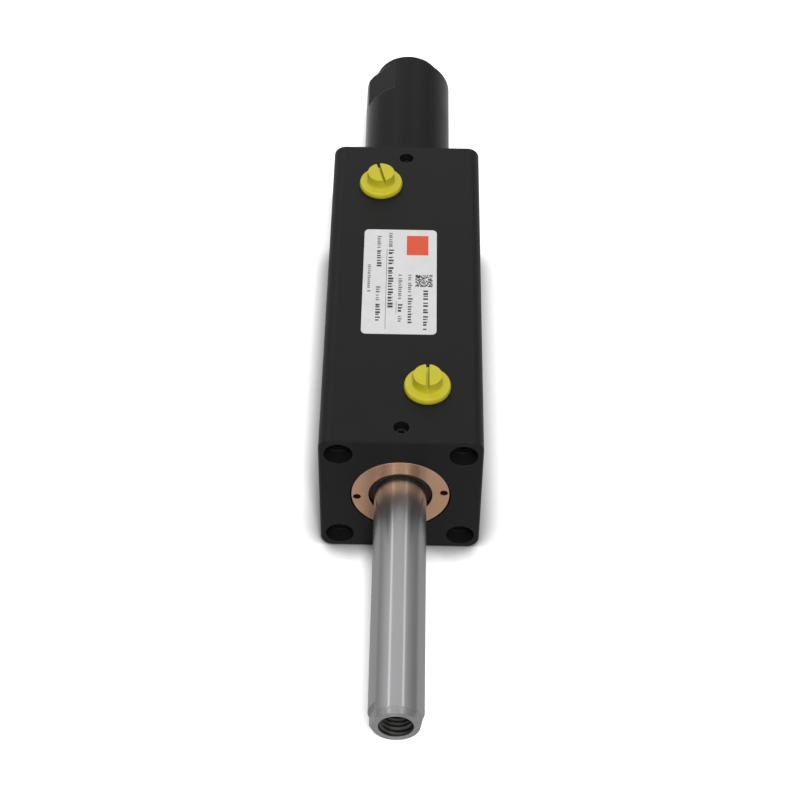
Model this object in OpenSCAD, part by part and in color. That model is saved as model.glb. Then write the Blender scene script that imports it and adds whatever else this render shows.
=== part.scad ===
// Compact block-type hydraulic cylinder with a stroke adjuster under a screw-on rear cover.
// Origin: centre of the rod bore on the block's front face. Y runs back along the cylinder,
// X is to the right seen from the rod end, Z is up. The rod points along -Y.

/* [Block] */
// Width and height of the square block
block_w = 62; // [60:1:70]
// Length of the block along the cylinder's axis
block_len = 169; // [169:1:190]
// Radius of the four long edges
edge_r = 5; // [2:0.5:6]
// Distance between mounting holes, both ways
hole_pitch = 47; // [46.5:0.5:48]
// Diameter of the mounting holes
hole_d = 6.6; // [5.5:0.1:7]
// Diameter of the counterbores for the screw heads
head_d = 11; // [10:0.5:11]
// Depth of the counterbores
head_depth = 6.5; // [5:0.5:8]

/* [Cylinder] */
// Diameter of the cylinder bore
bore_d = 32; // [32:0.5:33]
// Stroke of the piston
stroke = 100; // [60:1:100]
// Distance from full extension to the rod's rest position
rest_gap = 6; // [1:1:20]
// Length of the piston
piston_len = 23.3; // [23.3:0.1:24]

/* [Rod] */
// Diameter of the piston rod
rod_d = 20; // [19:0.5:20.5]
// How far the rod stands out of the block at rest
rod_out = 103.8; // [100:0.1:110]
// Distance across the wrench flats at the rod's end
rod_flats = 17; // [16:0.5:18]
// Length of the wrench flats
rod_flat_len = 5.6; // [4:0.2:8]
// Angle of the wrench flats about the axis
rod_flat_angle = -13; // [-90:1:90]
// Major diameter of the thread in the rod's end
rod_thread_d = 12; // [8:1:12]
// Depth of that thread
rod_thread_len = 20; // [12:1:24]

/* [Gland and rear cap] */
// Diameter of the seats for the gland and the rear cap
seat_d = 38.7; // [38.5:0.1:39]
// Length of the gland in the block
gland_len = 23; // [23:0.5:24]
// Length of the rear cap in the block
cap_len = 22.5; // [20.5:0.5:22.5]
// How far the gland's face lies below the block's face
gland_inset = 0.4; // [0.2:0.1:0.8]
// Diameter of the opening for the rod wiper
wiper_mouth_d = 24.5; // [23:0.5:25]
// Pitch circle of the spanner holes in the gland
spanner_pcd = 33.4; // [32:0.2:34]
// Angle of the spanner holes about the axis
spanner_angle = 5; // [-90:1:90]

/* [Ports] */
// Distance from the front face to the front port
front_port_y = 27.8; // [26.6:0.1:28]
// Distance of the front port from the centre line, to the right
front_port_x = 9.6; // [0:0.1:11]
// Distance from the front face to the rear port
rear_port_y = 143.8; // [141:0.1:143.8]
// Distance of the rear port from the centre line, to the left
rear_port_x = 10.5; // [0:0.1:11]
// Major diameter of the port threads
port_d = 13.16; // [12:0.01:13.2]
// Diameter of the flanges of the port plugs
plug_flange_d = 18; // [16:0.5:20]
// Thickness of the flanges of the port plugs
plug_flange_t = 2.5; // [2:0.1:3]
// Height of the slotted grips on the port plugs
plug_grip_h = 4.7; // [3.5:0.1:6]

/* [Adjuster] */
// Diameter of the adjusting screw
screw_d = 16; // [14:0.5:16]
// Adjusting travel of the real screw
screw_travel = 50; // [20:1:50]
// Distance from the rear cap's inner face to the screw's tip
tip_recess = 5; // [3:0.5:6]
// Diameter of the rear cover
cover_d = 38; // [36:0.5:38.5]
// Length of the rear cover
cover_len = 84.5; // [83:0.1:95]
// Diameter of the rear cover's stepped tip
cover_tip_d = 30; // [26:0.5:31]
// Length of the rear cover's stepped tip
cover_tip_len = 7.3; // [5:0.1:9]
// Distance across the wrench flats on the cover
cover_flats = 34; // [32:0.5:36]
// Length of the wrench flats on the cover
cover_flat_len = 20.2; // [12:0.2:24]
// Angle of the first wrench flat about the axis
cover_flat_angle = 134; // [0:1:179]

/* [Label] */
// Width of the name label
label_w = 29.6; // [20:0.1:36]
// Length of the name label
label_len = 60; // [40:1:70]

/* [Hidden] */

$fn = 96;
eps = 0.01;
half_w = block_w / 2;
block_chamfer = 0.6;

// radial gaps: between a running shaft and its hole, and between a fixed piece and its seat
run_gap = 0.05;
seat_gap = 0.15;
seat_r = seat_d / 2;
bore_r = bore_d / 2;
rod_r = rod_d / 2;

// gland
gland_y = gland_inset;
gland_body_r = seat_r - seat_gap;
gland_edge = 0.5;
mouth_len = 2.2;
wiper_y = gland_y + mouth_len;
wiper_w = 5;
lip_seat_r = rod_r + 4;
seal_y = wiper_y + wiper_w + 2.4;
seal_w = 5.6;
o_ring_w = 3.4;
o_ring_seat_r = seat_r - 2.2;
backup_t = 1.2;
gland_o_y = gland_len - 1.8 - o_ring_w;
gland_thread_y = 3;
gland_thread_len = 11;
spanner_d = 3;
spanner_depth = 4;

// rear cap: its inner end, the boss that carries the cover, and its O-ring groove
cap_y = block_len - cap_len;
cap_o_y = cap_y + 1.8;
cap_thread_y = block_len - 13;
cap_thread_len = 12;
boss_r = 15;
boss_len = 12;
boss_end_y = block_len + boss_len;
screw_hole_r = screw_d / 2;

// piston: a nose at each end leaves room for the oil under the ports
piston_y = gland_len + rest_gap + 0.1;
nose_len = 4;
front_nose_r = 13;
rear_nose_r = 13.5;
land_r = bore_r - 0.1;
land_y = piston_y + nose_len;
land_len = piston_len - 2 * nose_len;
wear_w = 5.6;
wear_y = land_y + 1.8;
wear_seat_r = bore_r - 1.6;
glide_w = 4.3;
glide_y = land_y + land_len - 1.8 - glide_w;
glide_seat_r = bore_r - 4.1;
glide_r = bore_r - 1.8;
spigot_r = 6;
nut_r = 10;
nut_t = 6;
nut_recess_r = 10.5;
nut_recess = nut_t + 1.5;
spigot_o_seat_r = spigot_r + 1.6;
spigot_o_w = 2.2;
spigot_o_y = piston_y + 2;

// rod end
rod_end_y = -rod_out;
rod_chamfer = 1.5;
rod_chamfer_len = 2.3;
thread_mouth = 0.3;

// ports
port_depth = 11.5;
passage_r = 2.5;
plug_gap = 0.13;
plug_shank_r = port_d / 2 - plug_gap;
plug_shank_len = 6.3;
plug_wall = 0.8;
grip_r = 5.5;
grip_slot_w = 1.3;
grip_slot_depth = 3.2;

// set screws that lock the gland and the cap
set_screw_r = 3;
set_screw_len = 8;
set_screw_gap = 0.05;
gland_lock_y = 7.5;
cap_lock_y = block_len - 7.6;

// adjuster
pad_t = 4;
pad_stem_r = 3;
pad_stem_len = 5;
lock_nut_af = 24;
lock_nut_t = 8;
screw_y = cap_y + tip_recess + pad_t;
screw_end_y = boss_end_y + lock_nut_t + screw_travel;
socket_af = 8;
socket_depth = 10;
thread_seal_t = 2;
cover_r = cover_d / 2;
cover_end_y = block_len + cover_len;
cover_shoulder_y = cover_end_y - cover_tip_len;
cover_tip_r = cover_tip_d / 2;
cover_wall_end = 9.5;
cover_thread_r = boss_r + run_gap + 0.01;
cover_wide_r = 15.5;
cover_wide_len = 33;
cover_narrow_r = 12;

label_x = -1.8;
label_y = 86;
label_t = 0.2;
label_corner_r = 2;

// Solid of revolution about the Y axis; each point is [radius, y]
module turned(points) {
    rotate([-90, 0, 0]) rotate_extrude() polygon(points);
}

// Cylinder along Y from y0, centred on (x, z)
module bar_y(r, len, y0, x = 0, z = 0) {
    translate([x, y0, z]) rotate([-90, 0, 0]) cylinder(r = r, h = len);
}

// Ring of rectangular section about the Y axis
module band(inner_r, outer_r, len, y0) {
    turned([[inner_r, y0], [outer_r, y0], [outer_r, y0 + len], [inner_r, y0 + len]]);
}

// O-ring about the Y axis that just touches both walls of its groove
module o_ring(inner_r, outer_r, y0) {
    rotate([-90, 0, 0]) rotate_extrude()
        translate([(inner_r + outer_r) / 2, y0]) circle(r = (outer_r - inner_r) / 2);
}

// The four places of the mounting holes
module at_mounting_holes() {
    for (x = [-1, 1], z = [-1, 1]) translate([x * hole_pitch / 2, 0, z * hole_pitch / 2]) children();
}

// What a chamfer takes off all round the face at y = 0, seen from inside the block
module face_chamfer(c) {
    corner = half_w - edge_r;
    for (a = [0:90:270]) rotate([0, a, 0]) {
        translate([0, 0, half_w]) rotate([45, 0, 0])
            cube([2 * corner, c * sqrt(2), c * sqrt(2)], center = true);
        translate([corner, 0, corner]) difference() {
            translate([0, -eps, 0]) cube([edge_r + 1, c + eps, edge_r + 1]);
            rotate([-90, 0, 0]) translate([0, 0, -eps])
                cylinder(r1 = edge_r - c - eps, r2 = edge_r + eps, h = c + 2 * eps);
        }
    }
}

module block_outline() {
    corner = half_w - edge_r;
    square([block_w, 2 * corner], center = true);
    square([2 * corner, block_w], center = true);
    for (x = [-corner, corner], z = [-corner, corner]) translate([x, z]) circle(r = edge_r);
}

// Threaded port with a drilled way into the cylinder
module port_cut(x, y) {
    translate([x, y, half_w - port_depth]) cylinder(d = port_d, h = port_depth + 1);
    translate([x, y, bore_r / 2]) cylinder(r = passage_r, h = half_w - port_depth - bore_r / 2 + eps);
}

module lock_cut(y) {
    translate([0, y, 0]) cylinder(r = set_screw_r, h = half_w + 1);
}

module cylinder_block() {
    color([0.17, 0.17, 0.18]) difference() {
        translate([0, block_len, 0]) rotate([90, 0, 0]) linear_extrude(block_len) block_outline();
        face_chamfer(block_chamfer);
        translate([0, block_len, 0]) mirror([0, 1, 0]) face_chamfer(block_chamfer);
        bar_y(seat_r, gland_len + 1, -1);
        bar_y(bore_r, block_len, 0);
        bar_y(seat_r, cap_len + 1, cap_y);
        at_mounting_holes() {
            bar_y(hole_d / 2, block_len + 2, -1);
            bar_y(head_d / 2, head_depth + 1, -1);
            bar_y(head_d / 2, head_depth + 1, block_len - head_depth);
        }
        port_cut(front_port_x, front_port_y);
        port_cut(-rear_port_x, rear_port_y);
        lock_cut(gland_lock_y);
        lock_cut(cap_lock_y);
    }
}

// Bronze guide for the rod, screwed into the block
module rod_gland() {
    run_r = rod_r + run_gap;
    color([0.74, 0.55, 0.43]) difference() {
        turned([
            [wiper_mouth_d / 2, gland_y], [gland_body_r - gland_edge, gland_y],
            [gland_body_r, gland_y + gland_edge], [gland_body_r, gland_thread_y],
            [seat_r, gland_thread_y], [seat_r, gland_thread_y + gland_thread_len],
            [gland_body_r, gland_thread_y + gland_thread_len], [gland_body_r, gland_o_y],
            [o_ring_seat_r, gland_o_y], [o_ring_seat_r, gland_o_y + o_ring_w],
            [gland_body_r, gland_o_y + o_ring_w], [gland_body_r, gland_len], [run_r, gland_len],
            [run_r, seal_y + seal_w], [lip_seat_r, seal_y + seal_w], [lip_seat_r, seal_y],
            [run_r, seal_y], [run_r, wiper_y + wiper_w], [lip_seat_r, wiper_y + wiper_w],
            [lip_seat_r, wiper_y], [wiper_mouth_d / 2, wiper_y]
        ]);
        for (a = [0, 180]) rotate([0, -spanner_angle + a, 0])
            bar_y(spanner_d / 2, spanner_depth, gland_y, x = spanner_pcd / 2);
    }
}

module gland_o_ring() {
    color([0.08, 0.08, 0.08]) o_ring(o_ring_seat_r, seat_r, gland_o_y + (o_ring_w + backup_t) / 2);
}

module gland_backup_ring() {
    color([0.9, 0.9, 0.86]) band(o_ring_seat_r, seat_r, backup_t - 0.05, gland_o_y);
}

// U-cup: the lips open towards the oil
module rod_seal() {
    inner = rod_r + run_gap;
    lip = seal_w - 2.2;
    mid = (inner + lip_seat_r) / 2;
    color([0.16, 0.2, 0.42]) turned([
        [inner, seal_y], [lip_seat_r, seal_y], [lip_seat_r, seal_y + seal_w - 0.1],
        [lip_seat_r - 1.1, seal_y + seal_w - 0.1], [mid, seal_y + seal_w - lip],
        [inner + 1.1, seal_y + seal_w - 0.1], [inner, seal_y + seal_w - 0.1]
    ]);
}

// Wiper with its lip turned out of the cylinder
module rod_wiper() {
    lip_r = rod_r + run_gap;
    color([0.1, 0.08, 0.07]) turned([
        [lip_r + 1, wiper_y + wiper_w], [lip_seat_r, wiper_y + wiper_w], [lip_seat_r, wiper_y],
        [wiper_mouth_d / 2 - 0.1, wiper_y], [wiper_mouth_d / 2 - 0.4, wiper_y - 0.5],
        [lip_r + 1.2, wiper_y - 0.5], [lip_r + 0.4, wiper_y - 1.4], [lip_r, wiper_y - 1.2]
    ]);
}

// Rod with a threaded end, two wrench flats and a spigot for the piston
module piston_rod() {
    flat_y = rod_end_y + rod_flat_len;
    color([0.78, 0.8, 0.82]) difference() {
        turned([
            [0, rod_end_y], [rod_r - rod_chamfer, rod_end_y], [rod_r, rod_end_y + rod_chamfer_len],
            [rod_r, piston_y], [spigot_r, piston_y], [spigot_r, piston_y + piston_len - 1.6],
            [spigot_r - 0.8, piston_y + piston_len - 0.8], [0, piston_y + piston_len - 0.8]
        ]);
        bar_y(rod_thread_d / 2, rod_thread_len + 1, rod_end_y - 1);
        turned([
            [0, rod_end_y + rod_thread_len - eps], [rod_thread_d / 2 - 0.9, rod_end_y + rod_thread_len - eps],
            [0, rod_end_y + rod_thread_len + 2.6]
        ]);
        turned([
            [0, rod_end_y - eps], [rod_thread_d / 2 + thread_mouth, rod_end_y - eps],
            [0, rod_end_y + rod_thread_d / 2 + thread_mouth]
        ]);
        for (a = [0, 180]) rotate([0, -rod_flat_angle + a, 0])
            translate([rod_flats / 2, rod_end_y - 1, -rod_r])
                cube([rod_r, flat_y - rod_end_y + 1, 2 * rod_r]);
    }
}

module piston() {
    rear_y = piston_y + piston_len;
    color([0.5, 0.51, 0.53]) turned([
        [spigot_r, piston_y], [front_nose_r, piston_y], [front_nose_r, land_y], [land_r, land_y],
        [land_r, wear_y], [wear_seat_r, wear_y], [wear_seat_r, wear_y + wear_w],
        [land_r, wear_y + wear_w], [land_r, glide_y], [glide_seat_r, glide_y],
        [glide_seat_r, glide_y + glide_w], [land_r, glide_y + glide_w], [land_r, land_y + land_len],
        [rear_nose_r, land_y + land_len], [rear_nose_r, rear_y], [nut_recess_r, rear_y],
        [nut_recess_r, rear_y - nut_recess], [spigot_r, rear_y - nut_recess],
        [spigot_r, spigot_o_y + spigot_o_w], [spigot_o_seat_r, spigot_o_y + spigot_o_w],
        [spigot_o_seat_r, spigot_o_y], [spigot_r, spigot_o_y]
    ]);
}

// Round nut with two face holes that holds the piston on the spigot
module piston_nut() {
    nut_y = piston_y + piston_len - nut_recess;
    color([0.3, 0.3, 0.32]) difference() {
        turned([
            [spigot_r, nut_y], [nut_r, nut_y], [nut_r, nut_y + nut_t - 0.6],
            [nut_r - 0.6, nut_y + nut_t], [spigot_r, nut_y + nut_t]
        ]);
        for (x = [-1, 1]) bar_y(1.25, 3 + eps, nut_y + nut_t - 3, x = x * (spigot_r + nut_r) / 2);
    }
}

module piston_static_o_ring() {
    color([0.08, 0.08, 0.08]) o_ring(spigot_r, spigot_o_seat_r, spigot_o_y + spigot_o_w / 2);
}

module piston_seal() {
    color([0.45, 0.33, 0.22]) band(glide_r, bore_r - run_gap, glide_w - 0.1, glide_y + 0.05);
}

module piston_seal_energizer() {
    color([0.08, 0.08, 0.08]) o_ring(glide_seat_r + run_gap, glide_r, glide_y + glide_w / 2);
}

module piston_wear_ring() {
    color([0.3, 0.22, 0.16])
        band(wear_seat_r + run_gap, bore_r - run_gap, wear_w - 0.1, wear_y + 0.05);
}

// Rear cap: closes the cylinder, carries the adjusting screw and the cover
module rear_cap() {
    body_r = seat_r - seat_gap;
    color([0.2, 0.2, 0.21]) difference() {
        turned([
            [screw_hole_r, cap_y], [body_r, cap_y], [body_r, cap_o_y], [o_ring_seat_r, cap_o_y],
            [o_ring_seat_r, cap_o_y + o_ring_w], [body_r, cap_o_y + o_ring_w],
            [body_r, cap_thread_y], [seat_r, cap_thread_y], [seat_r, cap_thread_y + cap_thread_len],
            [body_r, cap_thread_y + cap_thread_len], [body_r, block_len - 0.3],
            [body_r - 0.3, block_len], [boss_r, block_len], [boss_r, boss_end_y - 1],
            [boss_r - 1, boss_end_y], [screw_hole_r, boss_end_y]
        ]);
        for (a = [0, 180]) rotate([0, a, 0])
            bar_y(spanner_d / 2, spanner_depth + eps, block_len - spanner_depth, x = boss_r + 1.7);
    }
}

module rear_cap_o_ring() {
    color([0.08, 0.08, 0.08]) o_ring(o_ring_seat_r, seat_r, cap_o_y + (o_ring_w - backup_t) / 2);
}

module rear_cap_backup_ring() {
    color([0.9, 0.9, 0.86])
        band(o_ring_seat_r, seat_r, backup_t - 0.05, cap_o_y + o_ring_w - backup_t + 0.05);
}

// Pad that meets the piston without turning; its stem sits in the screw's tip
module adjuster_thrust_pad() {
    pad_y = screw_y - pad_t;
    color([0.74, 0.55, 0.43]) turned([
        [0, pad_y], [screw_hole_r - 0.9, pad_y], [screw_hole_r - 0.4, pad_y + 0.5],
        [screw_hole_r - 0.4, screw_y], [pad_stem_r, screw_y], [pad_stem_r, screw_y + pad_stem_len],
        [0, screw_y + pad_stem_len]
    ]);
}

module adjuster_screw() {
    r = screw_hole_r - run_gap;
    color([0.42, 0.43, 0.45]) difference() {
        turned([
            [0, screw_y], [r - 1, screw_y], [r, screw_y + 1], [r, screw_end_y - 1],
            [r - 1, screw_end_y], [0, screw_end_y]
        ]);
        bar_y(pad_stem_r + 0.1, pad_stem_len + 1.5, screw_y - 1);
        translate([0, screw_end_y - socket_depth, 0]) rotate([-90, 0, 0])
            cylinder(d = socket_af / cos(30), h = socket_depth + 1, $fn = 6);
    }
}

// Ring held in the lock nut's counterbore, where it closes the thread
module adjuster_thread_seal() {
    color([0.9, 0.9, 0.86]) band(screw_hole_r, screw_hole_r + 1.9, thread_seal_t, boss_end_y + 0.05);
}

module adjuster_lock_nut() {
    cut_r = lock_nut_af / 2 / cos(30);
    color([0.5, 0.5, 0.48]) difference() {
        intersection() {
            translate([0, boss_end_y, 0]) rotate([-90, 0, 0]) cylinder(r = cut_r, h = lock_nut_t, $fn = 6);
            turned([
                [0, boss_end_y], [cut_r - 1.4, boss_end_y], [cut_r, boss_end_y + 0.9],
                [cut_r, boss_end_y + lock_nut_t - 0.9], [cut_r - 1.4, boss_end_y + lock_nut_t],
                [0, boss_end_y + lock_nut_t]
            ]);
        }
        bar_y(screw_hole_r, lock_nut_t + 2, boss_end_y - 1);
        bar_y(screw_hole_r + 2, thread_seal_t + 1.1, boss_end_y - 1);
    }
}

// Screw-on cover with two wrench flats before its closed, stepped tip
module adjuster_cover() {
    flat_y = cover_shoulder_y - cover_flat_len;
    color([0.16, 0.16, 0.17]) difference() {
        turned([
            [cover_thread_r, block_len], [cover_r - 0.4, block_len], [cover_r, block_len + 0.4],
            [cover_r, cover_shoulder_y - 1], [cover_r - 1, cover_shoulder_y], [cover_tip_r, cover_shoulder_y],
            [cover_tip_r, cover_end_y - 0.8], [cover_tip_r - 0.8, cover_end_y], [0, cover_end_y],
            [0, cover_end_y - cover_wall_end], [cover_narrow_r, cover_end_y - cover_wall_end],
            [cover_narrow_r, block_len + cover_wide_len], [cover_wide_r, block_len + cover_wide_len - 3],
            [cover_wide_r, boss_end_y + 0.5], [cover_thread_r, boss_end_y + 0.5]
        ]);
        for (a = [0, 180]) rotate([0, -cover_flat_angle + a, 0])
            translate([cover_flats / 2, flat_y, -cover_r])
                cube([cover_r, cover_flat_len + 1, 2 * cover_r]);
    }
}

// Set screw with a socket, flush above the piece that it locks
module set_screw(y) {
    tip_z = seat_r + 0.1;
    color([0.25, 0.25, 0.27]) translate([0, y, tip_z]) difference() {
        union() {
            cylinder(r1 = set_screw_r - 1, r2 = set_screw_r - set_screw_gap, h = 1);
            translate([0, 0, 1]) cylinder(r = set_screw_r - set_screw_gap, h = set_screw_len - 1.4);
            translate([0, 0, set_screw_len - 0.4])
                cylinder(r1 = set_screw_r - set_screw_gap, r2 = set_screw_r - 0.45, h = 0.4);
        }
        translate([0, 0, set_screw_len - 3]) cylinder(d = 3 / cos(30), h = 4, $fn = 6);
    }
}

module gland_lock_screw() {
    set_screw(gland_lock_y);
}

module cap_lock_screw() {
    set_screw(cap_lock_y);
}

// Hollow plastic plug with a flange and a slotted grip
module port_plug(x, y, slot_angle) {
    top = plug_flange_t + plug_grip_h;
    flange_r = plug_flange_d / 2;
    color([0.87, 0.82, 0.16]) translate([x, y, half_w]) difference() {
        rotate_extrude() polygon([
            [0, 0.8], [plug_shank_r - plug_wall, 0.8], [plug_shank_r - plug_wall, -plug_shank_len],
            [plug_shank_r - 0.6, -plug_shank_len], [plug_shank_r, 0.8 - plug_shank_len],
            [plug_shank_r, 0], [flange_r - 0.3, 0], [flange_r, 0.3], [flange_r, plug_flange_t - 0.6],
            [flange_r - 0.2, plug_flange_t - 0.2], [flange_r - 0.6, plug_flange_t],
            [grip_r, plug_flange_t], [grip_r - 0.25, top - 0.6], [grip_r - 0.45, top - 0.18],
            [grip_r - 0.85, top], [0, top]
        ]);
        rotate([0, 0, slot_angle]) translate([-grip_slot_w / 2, -grip_r - 1, top - grip_slot_depth])
            cube([grip_slot_w, 2 * grip_r + 2, grip_slot_depth + 1]);
    }
}

module port_plug_front() {
    port_plug(front_port_x, front_port_y, 0);
}

module port_plug_rear() {
    port_plug(-rear_port_x, rear_port_y, 14);
}

module name_label() {
    color([0.86, 0.86, 0.87]) translate([label_x, label_y, half_w]) linear_extrude(label_t)
        for (flip = [0, 1]) {
            w = label_w / 2 - label_corner_r * flip;
            l = label_len / 2 - label_corner_r * (1 - flip);
            square([2 * w, 2 * l], center = true);
            for (x = [-1, 1], y = [-1, 1])
                translate([x * (label_w / 2 - label_corner_r), y * (label_len / 2 - label_corner_r)])
                    circle(r = label_corner_r);
        }
}

cylinder_block();
rod_gland();
gland_o_ring();
gland_backup_ring();
rod_seal();
rod_wiper();
piston_rod();
piston();
piston_nut();
piston_static_o_ring();
piston_seal();
piston_seal_energizer();
piston_wear_ring();
rear_cap();
rear_cap_o_ring();
rear_cap_backup_ring();
adjuster_thrust_pad();
adjuster_screw();
adjuster_thread_seal();
adjuster_lock_nut();
adjuster_cover();
gland_lock_screw();
cap_lock_screw();
port_plug_front();
port_plug_rear();
name_label();
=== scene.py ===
"""The looks of a compact block hydraulic cylinder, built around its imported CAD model.

Lengths are in metres, and those written in millimetres are multiplied by MM. The cylinder's axis is Y,
with the rod pointing along -Y, and Z is up.
"""

import math
import random

import bmesh
import bpy
from mathutils import Matrix, Vector


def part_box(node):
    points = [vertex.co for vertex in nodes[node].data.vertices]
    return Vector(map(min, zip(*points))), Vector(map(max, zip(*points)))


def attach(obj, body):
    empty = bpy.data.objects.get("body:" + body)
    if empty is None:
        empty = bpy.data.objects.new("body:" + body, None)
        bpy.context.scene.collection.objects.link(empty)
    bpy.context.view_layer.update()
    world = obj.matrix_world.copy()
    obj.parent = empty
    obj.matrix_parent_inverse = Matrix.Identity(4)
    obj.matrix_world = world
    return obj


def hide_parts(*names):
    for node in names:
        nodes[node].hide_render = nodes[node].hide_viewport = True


MM = 0.001
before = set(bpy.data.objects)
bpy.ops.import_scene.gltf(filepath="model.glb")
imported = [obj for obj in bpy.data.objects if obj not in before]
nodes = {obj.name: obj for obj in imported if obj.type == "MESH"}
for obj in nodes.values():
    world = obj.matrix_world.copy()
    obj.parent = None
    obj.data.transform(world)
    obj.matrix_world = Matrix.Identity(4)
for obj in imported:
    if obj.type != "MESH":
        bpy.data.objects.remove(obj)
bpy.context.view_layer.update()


# ---------------------------------------------------------------- mesh helpers

def add_object(name, data):
    """Makes an object of mesh, light or camera data and puts it in the scene."""
    obj = bpy.data.objects.new(name, data)
    bpy.context.scene.collection.objects.link(obj)
    return obj


def smooth(obj, angle=32):
    """Smooth shading, with a crease wherever two faces meet at more than angle degrees."""
    mesh = obj.data
    mesh.polygons.foreach_set("use_smooth", [True] * len(mesh.polygons))
    mesh.set_sharp_from_angle(angle=math.radians(angle))
    mesh.update()
    return obj


def from_bmesh(name, bm, angle=32):
    """Turns a bmesh into a smooth-shaded object and frees the bmesh."""
    bmesh.ops.recalc_face_normals(bm, faces=bm.faces)
    mesh = bpy.data.meshes.new(name)
    bm.to_mesh(mesh)
    bm.free()
    return smooth(add_object(name, mesh), angle)


def fillet(points, radii, steps=5):
    """A closed outline with a curve in place of each corner; a radius of 0 leaves its corner sharp."""
    straight = math.pi - 0.01
    longest_cut = 0.49  # of either side, so that two neighbouring curves never meet
    out = []
    count = len(points)
    for i, (point, radius) in enumerate(zip(points, radii)):
        here = Vector(point)
        before = Vector(points[i - 1]) - here
        after = Vector(points[(i + 1) % count]) - here
        turn = before.angle(after) if radius else 0
        if not radius or turn > straight:
            out.append(tuple(here))
            continue
        cut = min(radius / math.tan(turn / 2), longest_cut * before.length, longest_cut * after.length)
        start = here + before.normalized() * cut
        end = here + after.normalized() * cut
        for k in range(steps + 1):
            t = k / steps
            out.append(tuple(start * (1 - t) ** 2 + here * (2 * t * (1 - t)) + end * t ** 2))
    return out


def add_lathe(bm, outline, axis_point, steps=96):
    """Turns a closed outline of (radius, height) points about the upright axis through axis_point."""
    rings = []
    for radius, height in outline:
        ring = []
        on_axis = radius < 1e-9
        for k in range(1 if on_axis else steps):
            a = 2 * math.pi * k / steps
            local = Vector((radius * math.cos(a), radius * math.sin(a), height))
            ring.append(bm.verts.new(axis_point + local))
        rings.append(ring)
    for i, low in enumerate(rings):
        high = rings[(i + 1) % len(rings)]
        if len(low) == 1 and len(high) == 1:
            continue
        for k in range(steps):
            corners = [low[k % len(low)], low[(k + 1) % len(low)],
                       high[(k + 1) % len(high)], high[k % len(high)]]
            bm.faces.new(list(dict.fromkeys(corners)))


def add_ridge(bm, root_r, crest_r, start, length, pitch, axis_point, along="Z", steps=36):
    """One helical thread ridge about Z or Y: a closed sweep that fades in and out over half a turn."""
    half_root, half_crest = 0.44 * pitch, 0.07 * pitch
    least_height = 0.02  # of the full height, so that the ends keep their faces
    turns = length / pitch - 1
    count = int(turns * steps)
    rings = []
    for i in range(count + 1):
        a = 2 * math.pi * i / steps
        fade = min(1, 2 * i / steps, 2 * (count - i) / steps)
        crest = root_r + (crest_r - root_r) * max(fade, least_height)
        middle = start + pitch / 2 + pitch * i / steps
        ring = []
        for radius, offset in ((root_r, -half_root), (crest, -half_crest),
                               (crest, half_crest), (root_r, half_root)):
            c, s = radius * math.cos(a), radius * math.sin(a)
            dist = middle + offset
            local = Vector((c, s, dist)) if along == "Z" else Vector((c, dist, -s))
            ring.append(bm.verts.new(axis_point + local))
        rings.append(ring)
    for low, high in zip(rings, rings[1:]):
        for k in range(4):
            bm.faces.new([low[k], low[(k + 1) % 4], high[(k + 1) % 4], high[k]])
    bm.faces.new(rings[0])
    bm.faces.new(list(reversed(rings[-1])))


def add_prism(bm, outline, low, high, place, bevel=0, segments=4):
    """An upright prism on a closed (x, y) outline, its top edge rounded by bevel."""
    bottom = [bm.verts.new(place @ Vector((x, y, low))) for x, y in outline]
    top = [bm.verts.new(place @ Vector((x, y, high))) for x, y in outline]
    count = len(outline)
    bm.faces.new(list(reversed(bottom)))
    lid = bm.faces.new(top)
    for i in range(count):
        bm.faces.new([bottom[i], bottom[(i + 1) % count], top[(i + 1) % count], top[i]])
    if bevel:
        bmesh.ops.bevel(bm, geom=list(lid.edges), offset=bevel, segments=segments,
                        profile=0.5, affect="EDGES", clamp_overlap=True)


# ---------------------------------------------------------------- materials

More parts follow.
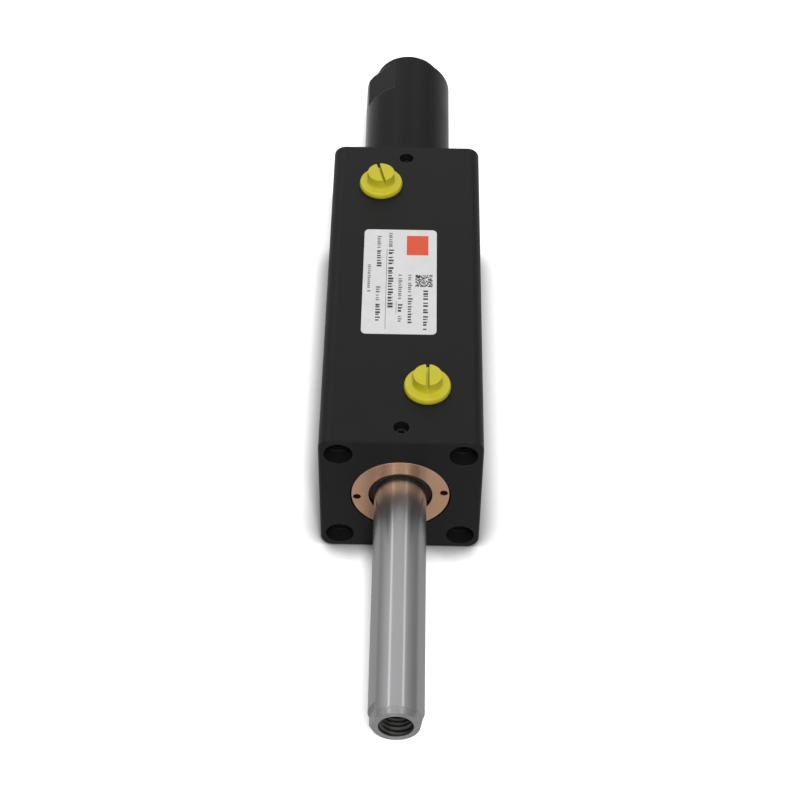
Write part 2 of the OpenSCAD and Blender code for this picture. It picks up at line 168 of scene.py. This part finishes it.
class Nodes:
    """A material's node tree, with short calls for the nodes that the materials here share."""

    def __init__(self, name):
        self.material = bpy.data.materials.new(name)
        self.material.use_nodes = True
        self.tree = self.material.node_tree
        self.shader = self.tree.nodes["Principled BSDF"]
        self.place = self.add("ShaderNodeTexCoord").outputs["Object"]

    def add(self, kind, **values):
        """A new node with the given settings."""
        node = self.tree.nodes.new(kind)
        for key, value in values.items():
            setattr(node, key, value)
        return node

    def link(self, source, target):
        self.tree.links.new(source, target)
        return source

    def feed(self, node, **inputs):
        """Links or sets inputs by name; an underscore in a name stands for a space."""
        for key, value in inputs.items():
            socket = node.inputs[key.replace("_", " ")]
            if isinstance(value, bpy.types.NodeSocket):
                self.link(value, socket)
            else:
                socket.default_value = value
        return node

    def math(self, operation, a, b=0.0, c=0.0):
        """The result of one arithmetic operation on sockets or numbers."""
        node = self.add("ShaderNodeMath", operation=operation)
        for socket, value in zip(node.inputs, (a, b, c)):
            if isinstance(value, bpy.types.NodeSocket):
                self.link(value, socket)
            else:
                socket.default_value = value
        return node.outputs[0]

    def noise(self, scale, detail=3, roughness=0.55, vector=None):
        """Fractal noise from 0 to 1; scale is in features per metre."""
        node = self.add("ShaderNodeTexNoise")
        self.feed(node, Vector=vector or self.place, Scale=scale, Detail=detail, Roughness=roughness)
        return node.outputs["Fac"]

    def remap(self, value, low, high, to_low, to_high):
        """Carries value smoothly from the range low..high to the range to_low..to_high."""
        node = self.add("ShaderNodeMapRange")
        node.interpolation_type = "SMOOTHSTEP"
        for socket, number in zip(node.inputs[1:5], (low, high, to_low, to_high)):
            socket.default_value = number
        self.link(value, node.inputs["Value"])
        return node.outputs["Result"]

    def mix(self, factor, a, b):
        """The colour a where factor is 0 and b where it is 1."""
        node = self.add("ShaderNodeMix", data_type="RGBA")
        for socket, value in ((node.inputs["Factor"], factor), (node.inputs[6], a), (node.inputs[7], b)):
            if isinstance(value, bpy.types.NodeSocket):
                self.link(value, socket)
            elif isinstance(value, tuple):
                socket.default_value = (*value, 1)
            else:
                socket.default_value = value
        return node.outputs[2]

    def stretched(self, x, y, z):
        """The object's own coordinates, scaled along each axis."""
        node = self.add("ShaderNodeMapping")
        node.inputs["Scale"].default_value = (x, y, z)
        self.link(self.place, node.inputs["Vector"])
        return node.outputs["Vector"]

    def radius_y(self):
        """Distance from the cylinder's axis."""
        split = self.add("ShaderNodeSeparateXYZ")
        self.link(self.place, split.inputs[0])
        x2 = self.math("MULTIPLY", split.outputs["X"], split.outputs["X"])
        return self.math("SQRT", self.math("MULTIPLY_ADD", split.outputs["Z"], split.outputs["Z"], x2))

    def bevel(self, radius):
        """The surface's direction, rounded near sharp edges."""
        node = self.add("ShaderNodeBevel", samples=6)
        node.inputs["Radius"].default_value = radius
        return node.outputs["Normal"]

    def edge_mask(self, radius):
        """1 along sharp edges, 0 away from them."""
        flat = self.add("ShaderNodeNewGeometry").outputs["True Normal"]
        dot = self.add("ShaderNodeVectorMath", operation="DOT_PRODUCT")
        self.link(self.bevel(radius), dot.inputs[0])
        self.link(flat, dot.inputs[1])
        return self.remap(dot.outputs["Value"], 0.8, 0.995, 1, 0)

    def lathe_marks(self, amount):
        """Stretches reflections across marks that run round the cylinder's axis."""
        tangent = self.add("ShaderNodeTangent", direction_type="RADIAL", axis="Y")
        quarter_turn = 0.25
        self.link(tangent.outputs[0], self.shader.inputs["Tangent"])
        self.shader.inputs["Anisotropic"].default_value = amount
        self.shader.inputs["Anisotropic Rotation"].default_value = quarter_turn

    def bump(self, height, distance, normal=None):
        """The surface's direction, tilted by a height map that rises by distance."""
        node = self.add("ShaderNodeBump")
        self.feed(node, Height=height, Distance=distance, Strength=1.0)
        if normal:
            self.link(normal, node.inputs["Normal"])
        return node.outputs["Normal"]


def black_oxide(name, tone, rough, shine, turned=False):
    """Blackened steel: nearly black, satin, with fine grain, faint clouds and paler edges."""
    grain_height, edge_r, wear_r = 0.004 * MM, 0.3 * MM, 0.35 * MM
    bare_edge = (0.05, 0.05, 0.052)
    n = Nodes(name)
    clouds = n.noise(38, detail=4)
    grains = n.noise(2600, detail=2)
    wear = n.math("MULTIPLY", n.edge_mask(wear_r), n.remap(n.noise(420), 0.35, 0.75, 0.25, 1))
    dark = tuple(tone * k for k in (0.86, 0.86, 0.9))
    pale = tuple(tone * k for k in (1.25, 1.25, 1.28))
    n.link(n.mix(wear, n.mix(clouds, dark, pale), bare_edge), n.shader.inputs["Base Color"])
    mottle = n.math("ADD", n.remap(clouds, 0.3, 0.7, -0.04, 0.04), n.remap(grains, 0.2, 0.8, -0.05, 0.05))
    n.link(n.math("ADD", mottle, rough), n.shader.inputs["Roughness"])
    n.shader.inputs["Specular IOR Level"].default_value = shine
    n.shader.inputs["Specular Tint"].default_value = (0.94, 0.95, 1.0, 1)
    height = grains
    if turned:
        rings = n.noise(1.0, detail=2, vector=n.stretched(60, 5200, 60))
        height = n.math("MULTIPLY_ADD", rings, 1.4, grains)
        n.shader.inputs["Sheen Weight"].default_value = 0.25
        n.shader.inputs["Sheen Roughness"].default_value = 0.3
    n.link(n.bump(height, grain_height, normal=n.bevel(edge_r)), n.shader.inputs["Normal"])
    return n.material


def turned_metal(name, color, rough, specks=0.5, marks=0.8, face_rings=True, dark_behind=None):
    """Bright lathe-turned metal: fine rings on faces and outside, painted highlight on sharp edges, painted
    shade behind a given Y.
    """
    groove, edge_r, painted_shade_depth = 0.0025 * MM, 0.2 * MM, 1.0 * MM
    # The first colour is random darker clouds, the second a painted highlight for sharp edges, the third a
    # painted shade for recesses.
    stained, painted_edge_highlight, painted_shade_tone = (tuple(min(c * k, 1) for c in color) for k in (0.72, 1.25, 0.5))
    n = Nodes(name)
    clouds = n.noise(90, detail=4)
    height = n.noise(1.0, detail=3, vector=n.stretched(90, 3800, 90))
    if face_rings:
        wave = n.add("ShaderNodeTexNoise", noise_dimensions="1D")
        n.feed(wave, W=n.radius_y(), Scale=4200.0, Detail=2.0)
        height = n.math("ADD", height, wave.outputs["Fac"])
    shade = n.mix(n.remap(clouds, 0.3, 0.7, 0, specks), color, stained)
    # Painted highlight along sharp edges.
    shade = n.mix(n.edge_mask(edge_r), shade, painted_edge_highlight)
    # Painted shade: darker in the recess behind the Y given by dark_behind.
    if dark_behind is not None:
        split = n.add("ShaderNodeSeparateXYZ")
        n.link(n.place, split.inputs[0])
        depth = n.remap(split.outputs["Y"], dark_behind, dark_behind + painted_shade_depth, 0, 1)
        shade = n.mix(depth, shade, painted_shade_tone)
    n.link(shade, n.shader.inputs["Base Color"])
    n.shader.inputs["Metallic"].default_value = 1.0
    n.link(n.remap(n.noise(700), 0.2, 0.8, rough - 0.04, rough + 0.06), n.shader.inputs["Roughness"])
    n.lathe_marks(marks)
    n.link(n.bump(height, groove, normal=n.bevel(edge_r)), n.shader.inputs["Normal"])
    return n.material


def rod_metal(name, plated_r, hole_r):
    """Ground and hard-chromed outside, bare turned steel on the end, dark in the hole from oil and painted
    shade.
    """
    grinding_height, edge_r, border = 0.0006 * MM, 0.15 * MM, 0.12 * MM
    # Colour inside the hole: partly oil and dirt, partly painted shade.
    painted_shade_tone = (0.07, 0.068, 0.066)
    n = Nodes(name)
    radius = n.radius_y()
    haze = n.noise(55, detail=5)
    grinding = n.noise(1.0, detail=2, vector=n.stretched(40, 2600, 40))
    plated = n.remap(radius, plated_r - border, plated_r - border / 3, 0, 1)
    inside = n.remap(radius, hole_r, hole_r + border, 1, 0)
    chrome = n.mix(haze, (0.52, 0.515, 0.525), (0.60, 0.595, 0.605))
    steel = n.mix(n.noise(320), (0.50, 0.50, 0.51), (0.66, 0.66, 0.67))
    outside = n.mix(plated, steel, chrome)
    n.link(n.mix(inside, outside, painted_shade_tone), n.shader.inputs["Base Color"])
    n.shader.inputs["Metallic"].default_value = 1.0
    smooth_part = n.remap(haze, 0.25, 0.75, 0.17, 0.22)
    rough_part = n.remap(n.noise(900), 0.2, 0.8, 0.32, 0.46)
    n.link(n.math("ADD", n.math("MULTIPLY", smooth_part, plated),
                  n.math("MULTIPLY", rough_part, n.math("SUBTRACT", 1.0, plated))),
           n.shader.inputs["Roughness"])
    n.lathe_marks(1.0)
    n.link(n.bump(grinding, grinding_height, normal=n.bevel(edge_r)), n.shader.inputs["Normal"])
    return n.material


def moulded(name, color, rough, grain=0.004, scatter=0.0, edge=0.0):
    """Moulded rubber or plastic: even colour with slight clouds and a fine, soft grain."""
    n = Nodes(name)
    clouds = n.noise(160, detail=3)
    n.link(n.mix(clouds, tuple(c * 0.9 for c in color), tuple(min(c * 1.08, 1) for c in color)),
           n.shader.inputs["Base Color"])
    n.link(n.remap(n.noise(1400), 0.2, 0.8, rough - 0.05, rough + 0.06), n.shader.inputs["Roughness"])
    n.shader.inputs["Specular IOR Level"].default_value = 0.45
    if scatter:
        n.shader.inputs["Subsurface Weight"].default_value = scatter
        n.shader.inputs["Subsurface Radius"].default_value = (1.0, 0.75, 0.15)
        n.shader.inputs["Subsurface Scale"].default_value = 1.2 * MM
    normal = n.bevel(edge * MM) if edge else None
    n.link(n.bump(n.noise(1900, detail=2), grain * MM, normal=normal), n.shader.inputs["Normal"])
    return n.material


def printed(name, color):
    """Slightly uneven printing ink."""
    n = Nodes(name)
    n.link(n.mix(n.noise(2200), tuple(c * 0.85 for c in color), color), n.shader.inputs["Base Color"])
    n.shader.inputs["Roughness"].default_value = 0.4
    return n.material


BLACK_BLOCK = black_oxide("black_oxide_block", 0.0070, 0.40, shine=0.23)
BLACK_TURNED = black_oxide("black_oxide_turned", 0.0050, 0.36, shine=0.17, turned=True)
BRONZE_COLOR = (0.98, 0.60, 0.39)
BRONZE = turned_metal("turned_bronze", BRONZE_COLOR, 0.22, specks=0.2, marks=0.5)
# The gland's bronze, with painted shade in its bore and pin holes behind its face.
GLAND_BRONZE = turned_metal("gland_bronze", BRONZE_COLOR, 0.22, specks=0.2, marks=0.5,
                            dark_behind=0.7 * MM)
CHROME = rod_metal("hard_chrome", plated_r=10 * MM, hole_r=6.25 * MM)
# Dark steel for the thread deep in the rod's end: partly oil, partly painted shade.
THREAD_STEEL = turned_metal("thread_oil_and_shade", (0.16, 0.155, 0.15), 0.36, face_rings=False)
STEEL = turned_metal("turned_steel", (0.50, 0.50, 0.51), 0.30)
DARK_STEEL = turned_metal("phosphated_steel", (0.09, 0.09, 0.095), 0.42)
ZINC = turned_metal("zinc_plate", (0.62, 0.61, 0.55), 0.28)
YELLOW = moulded("yellow_polyethylene", (0.47, 0.42, 0.020), 0.36, scatter=0.3)
NITRILE = moulded("nitrile_rubber", (0.018, 0.018, 0.018), 0.55, edge=0.1)
WIPER = moulded("wiper_rubber", (0.022, 0.016, 0.014), 0.5, edge=0.15)
SEAL_BLUE = moulded("blue_polyurethane", (0.03, 0.05, 0.22), 0.35, edge=0.1)
WHITE_PTFE = moulded("white_ptfe", (0.78, 0.78, 0.74), 0.5, edge=0.1)
BRONZE_PTFE = moulded("bronze_filled_ptfe", (0.22, 0.13, 0.07), 0.5, edge=0.1)
PHENOLIC = moulded("phenolic_fabric", (0.13, 0.07, 0.035), 0.55, grain=0.01, edge=0.1)
LABEL_FILM = moulded("label_film", (0.56, 0.56, 0.56), 0.34, grain=0.001)
PRINT_DARK = printed("print_dark", (0.035, 0.035, 0.04))
PRINT_GREY = printed("print_grey", (0.16, 0.16, 0.17))
PRINT_RED = printed("print_red", (0.62, 0.075, 0.03))

FINISH = {
    "cylinder_block": BLACK_BLOCK, "rod_gland": GLAND_BRONZE, "gland_o_ring": NITRILE,
    "gland_backup_ring": WHITE_PTFE, "rod_seal": SEAL_BLUE, "rod_wiper": WIPER,
    "piston_rod": CHROME, "piston": STEEL, "piston_nut": DARK_STEEL,
    "piston_static_o_ring": NITRILE, "piston_seal": BRONZE_PTFE, "piston_seal_energizer": NITRILE,
    "piston_wear_ring": PHENOLIC, "rear_cap": BLACK_TURNED, "rear_cap_o_ring": NITRILE,
    "rear_cap_backup_ring": WHITE_PTFE, "adjuster_thrust_pad": BRONZE, "adjuster_screw": DARK_STEEL,
    "adjuster_thread_seal": WHITE_PTFE, "adjuster_lock_nut": ZINC, "adjuster_cover": BLACK_TURNED,
    "gland_lock_screw": DARK_STEEL, "cap_lock_screw": DARK_STEEL, "port_plug_front": YELLOW,
    "port_plug_rear": YELLOW, "name_label": LABEL_FILM,
}


def paint(obj, material):
    """Gives an object its one material."""
    obj.data.materials.clear()
    obj.data.materials.append(material)
    return obj


for node_name, material in FINISH.items():
    for slot in nodes[node_name].material_slots:
        slot.material = material


# ---------------------------------------------------------------- pieces

def centre_of(node):
    low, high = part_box(node)
    return (low + high) / 2


def rod_end_thread():
    """The M12 thread in the rod's end: a helical ridge that stands in from the CAD hole's wall."""
    major_r, minor_r, pitch, length = 6.03 * MM, 5.12 * MM, 1.75 * MM, 19.5 * MM
    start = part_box("piston_rod")[0].y + 0.1 * MM
    bm = bmesh.new()
    add_ridge(bm, major_r, minor_r, start, length, pitch, Vector((0, 0, 0)), along="Y", steps=48)
    piece = paint(from_bmesh("rod_end_thread", bm, angle=40), THREAD_STEEL)
    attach(piece, "rod")


def port_plug(node, body, slot_angle):
    """Moulded plug: soft-edged flange, hollow threaded shank, and a grip of two halves round a slot."""
    low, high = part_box(node)
    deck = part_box("cylinder_block")[1].z
    axis = Vector((centre_of(node).x, centre_of(node).y, deck))
    top = high.z - deck
    foot = low.z - deck
    flange_r = (high.x - low.x) / 2
    flange_t, grip_r, slot_w, slot_deep = 2.5 * MM, 5.5 * MM, 1.3 * MM, 3.2 * MM
    crest_r, root_r, wall, pitch = 6.4 * MM, 5.85 * MM, 1.1 * MM, 1.337 * MM
    grip_edge, corner_r, arc_steps, overlap = 0.75 * MM, 0.35 * MM, 28, 0.05 * MM
    floor_z = top - slot_deep
    body_outline = fillet(
        [(0, 0.9 * MM), (root_r - wall, 0.9 * MM), (root_r - wall, foot), (root_r, foot), (root_r, 0),
         (flange_r - 0.1 * MM, 0), (flange_r, flange_t * 0.45), (flange_r - 0.35 * MM, flange_t),
         (grip_r + 0.25 * MM, flange_t), (grip_r, floor_z), (0, floor_z)],
        [0, 0.4 * MM, 0.4 * MM, 0.3 * MM, 0.1 * MM, 0.35 * MM, 1.2 * MM, 0.8 * MM, 0.5 * MM, 0, 0])
    bm = bmesh.new()
    add_lathe(bm, body_outline, axis, steps=96)
    add_ridge(bm, root_r - overlap, crest_r, foot + 0.3 * MM, -foot - 0.6 * MM, pitch, axis)
    for side in (0, 1):
        turn = Matrix.Translation(axis) @ Matrix.Rotation(math.radians(slot_angle) + math.pi * side, 4, "Z")
        start = math.asin(slot_w / 2 / grip_r)
        arc = [(grip_r * math.sin(a), grip_r * math.cos(a))
               for a in (start + (math.pi - 2 * start) * k / arc_steps for k in range(arc_steps + 1))]
        corners = fillet(arc, [corner_r] + [0] * (arc_steps - 1) + [corner_r], steps=4)
        add_prism(bm, corners, floor_z - overlap, top, turn, bevel=grip_edge, segments=5)
    piece = paint(from_bmesh(node + "_moulded", bm, angle=38), YELLOW)
    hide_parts(node)
    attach(piece, body)


# Rows of marks on the label, in mm: ink, distance from the left edge, start and end from the rear edge,
# height, and spacing of the marks.
LABEL_ROWS = (
    ("grey", 1.9, 21, 37, 1.3, 1.15), ("grey", 5.4, 4, 11.5, 1.7, 1.3), ("dark", 5.4, 12.5, 22.5, 1.9, 1.45),
    ("grey", 5.4, 33.5, 42.5, 1.7, 1.3), ("dark", 5.4, 43.5, 53.5, 1.9, 1.45),
    ("grey", 10.1, 2, 10.5, 1.5, 1.25), ("dark", 10.1, 12, 45.5, 2.1, 1.6),
    ("grey", 14.3, 26.6, 41.5, 1.6, 1.25), ("dark", 14.3, 43.5, 48.8, 1.8, 1.5),
    ("grey", 14.3, 50, 54, 1.6, 1.25), ("grey", 18.2, 26.6, 38.8, 1.6, 1.25),
    ("dark", 18.2, 40, 55.2, 1.9, 1.5), ("dark", 24.3, 35.5, 57.5, 1.9, 1.45),
)
# Plain marks on the label, in mm: ink, distance from the left edge, from the rear edge, width and length.
LABEL_RULES = (("dark", 9.3, 11.6, 0.16, 45.8), ("dark", 13.5, 42, 0.14, 7.2), ("red", 17.4, 3.6, 8.8, 11.5))


def label_print():
    """Generic printing on the label: rows of plain marks, a dot square and a red block, none legible."""
    low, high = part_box("name_label")
    thick, sunk = 0.03 * MM, 0.01 * MM
    rng = random.Random(7)
    ink = {"dark": bmesh.new(), "grey": bmesh.new(), "red": bmesh.new()}

    def mark(color, across, along, width, length):
        """One flat mark; across is measured from the left edge and along from the rear edge, in mm."""
        x0, y0 = low.x + across * MM, high.y - along * MM
        outline = [(x0, y0 - length * MM), (x0 + width * MM, y0 - length * MM),
                   (x0 + width * MM, y0), (x0, y0)]
        add_prism(ink[color], outline, high.z - sunk, high.z + thick, Matrix())

    def row(color, across, start, end, height, step):
        """A row of uneven marks about as dense as small type."""
        at = start
        while at < end - step * 0.4:
            size = step * rng.uniform(0.42, 0.74)
            tall = height * rng.choice((0.72, 0.72, 1.0))
            mark(color, across, at, tall, size)
            if tall < height and rng.random() < 0.5:
                mark(color, across + tall * 1.05, at, height * 0.2, size * 0.5)
            at += step * rng.uniform(0.88, 1.1) + (step * 0.7 if rng.random() < 0.1 else 0)

    def dot_square(across, along, side, cells, filled):
        """A square of random dots."""
        cell = side / cells
        for i in range(cells):
            for j in range(cells):
                if rng.random() < filled:
                    mark("dark", across + i * cell, along + j * cell, cell, cell)

    for values in LABEL_ROWS:
        row(*values)
    dot_square(21.1, 26.6, side=6.9, cells=15, filled=0.52)
    for values in LABEL_RULES:
        mark(*values)
    for color, slot, material in (("dark", "label_film", PRINT_DARK), ("grey", "label_film", PRINT_GREY),
                                  ("red", "label_film", PRINT_RED)):
        piece = paint(from_bmesh("label_print_" + color, ink[color]), material)
        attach(piece, "cylinder")


rod_end_thread()
port_plug("port_plug_front", "front_plug", 0)
port_plug("port_plug_rear", "rear_plug", 14)
label_print()


# ---------------------------------------------------------------- studio

def camera():
    """Looks back along the cylinder from above its rod end."""
    azimuth, elevation, roll = math.radians(-0.321), math.radians(47.498), math.radians(0.726)
    place = Vector((2.04, -471.6, 568.8)) * MM
    forward = Vector((math.sin(azimuth) * math.cos(elevation), math.cos(azimuth) * math.cos(elevation),
                      -math.sin(elevation)))
    level = Vector((math.cos(azimuth), -math.sin(azimuth), 0))
    above = level.cross(forward)
    right = level * math.cos(roll) + above * math.sin(roll)
    up = above * math.cos(roll) - level * math.sin(roll)
    data = bpy.data.cameras.new("camera")
    data.lens, data.sensor_width = 86.8, 36
    data.clip_start, data.clip_end = 0.01, 50
    obj = add_object("camera", data)
    turn = Matrix((right, up, -forward)).transposed().to_4x4()
    obj.matrix_world = Matrix.Translation(place) @ turn
    bpy.context.scene.camera = obj


def floor():
    """Paper: bright white to the camera, with a tight contact shadow, and grey to everything else."""
    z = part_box("cylinder_block")[0].z
    bm = bmesh.new()
    bmesh.ops.create_grid(bm, x_segments=2, y_segments=2, size=6)
    bmesh.ops.translate(bm, verts=bm.verts, vec=(0, 0, z))
    obj = from_bmesh("floor", bm)
    n = Nodes("floor_paper")
    n.link(n.mix(n.noise(3), (0.35, 0.35, 0.35), (0.37, 0.37, 0.37)), n.shader.inputs["Base Color"])
    n.shader.inputs["Roughness"].default_value = 0.9
    n.shader.inputs["Specular IOR Level"].default_value = 0.1
    contact = n.add("ShaderNodeAmbientOcclusion", samples=16)
    n.feed(contact, Distance=18 * MM)
    open_air = n.remap(contact.outputs["AO"], 0.4, 0.97, 0, 1)
    backlit = n.add("ShaderNodeBsdfPrincipled")
    n.feed(backlit, Base_Color=n.mix(open_air, (0.2, 0.2, 0.2), (0.95, 0.95, 0.95)), Roughness=0.9,
           Emission_Color=n.mix(open_air, (0, 0, 0), (1, 1, 1)), Emission_Strength=0.28)
    choice = n.add("ShaderNodeMixShader")
    n.link(n.add("ShaderNodeLightPath").outputs["Is Camera Ray"], choice.inputs[0])
    n.link(n.shader.outputs[0], choice.inputs[1])
    n.link(backlit.outputs[0], choice.inputs[2])
    n.link(choice.outputs[0], n.tree.nodes["Material Output"].inputs["Surface"])
    paint(obj, n.material)


# Brightness of the room by angle about the cylinder's axis, in degrees from straight up towards +X.
ROOM = ((-180, 0.5), (-120, 0.45), (-92, 0.26), (-72, 0.42), (-48, 0.66), (-20, 0.68), (0, 0.68),
        (22, 0.66), (40, 0.48), (62, 0.32), (88, 0.22), (115, 0.45), (180, 0.5))
# Long tubes of light along the cylinder: angle and width in degrees, and brightness.
TUBES = ((-31, 2.4, 0.75), (27, 2.4, 0.65))


def room_light():
    """A soft ceiling that darkens towards the walls, with two long tubes of light along the cylinder."""
    world = bpy.data.worlds.new("room")
    world.use_nodes = True
    bpy.context.scene.world = world
    tree = world.node_tree
    tree.nodes.clear()

    def add(kind, **values):
        node = tree.nodes.new(kind)
        for key, value in values.items():
            setattr(node, key, value)
        return node

    def calc(operation, a, b=0.0, c=0.0):
        node = add("ShaderNodeMath", operation=operation)
        for socket, value in zip(node.inputs, (a, b, c)):
            if isinstance(value, bpy.types.NodeSocket):
                tree.links.new(value, socket)
            else:
                socket.default_value = value
        return node.outputs[0]

    split = add("ShaderNodeSeparateXYZ")
    tree.links.new(add("ShaderNodeTexCoord").outputs["Generated"], split.inputs[0])
    angle = calc("ARCTAN2", split.outputs["X"], split.outputs["Z"])
    ramp = add("ShaderNodeValToRGB")
    ramp.color_ramp.interpolation = "B_SPLINE"
    turn = calc("MULTIPLY_ADD", angle, 0.5 / math.pi, 0.5)
    tree.links.new(turn, ramp.inputs["Fac"])
    elements = ramp.color_ramp.elements
    while len(elements) < len(ROOM):
        elements.new(0.5)
    for element, (degrees, level) in zip(elements, ROOM):
        element.position = degrees / 360 + 0.5
        element.color = (level, level, level, 1)
    total = ramp.outputs["Color"]
    for degrees, width, level in TUBES:
        off = calc("DIVIDE", calc("SUBTRACT", angle, math.radians(degrees)), math.radians(width))
        bell = calc("POWER", math.e, calc("MULTIPLY", calc("MULTIPLY", off, off), -0.5))
        total = calc("MULTIPLY_ADD", bell, level, total)
    room = add("ShaderNodeBackground")
    tree.links.new(total, room.inputs["Color"])
    backdrop = add("ShaderNodeBackground")
    backdrop.inputs["Color"].default_value = (1, 1, 1, 1)
    choice = add("ShaderNodeMixShader")
    tree.links.new(add("ShaderNodeLightPath").outputs["Is Camera Ray"], choice.inputs[0])
    tree.links.new(room.outputs[0], choice.inputs[1])
    tree.links.new(backdrop.outputs[0], choice.inputs[2])
    tree.links.new(choice.outputs[0], add("ShaderNodeOutputWorld").inputs[0])


def front_light():
    """A broad lamp high up on the rod's side, -Y, a little towards +X, and left out of reflections."""
    azimuth, elevation, spread, strength = math.radians(9), math.radians(56), math.radians(9), 2.4
    data = bpy.data.lights.new("front_lamp", "SUN")
    data.energy, data.angle = strength, spread
    obj = add_object("front_lamp", data)
    towards = Vector((math.sin(azimuth) * math.cos(elevation), -math.cos(azimuth) * math.cos(elevation),
                      math.sin(elevation)))
    obj.rotation_euler = (-towards).to_track_quat("-Z", "Y").to_euler()
    obj.location = towards
    obj.visible_glossy = False


camera()
floor()
room_light()
front_light()
bpy.context.scene.view_settings.view_transform = "Standard"
bpy.context.scene.view_settings.look = "None"

bpy.context.view_layer.update()
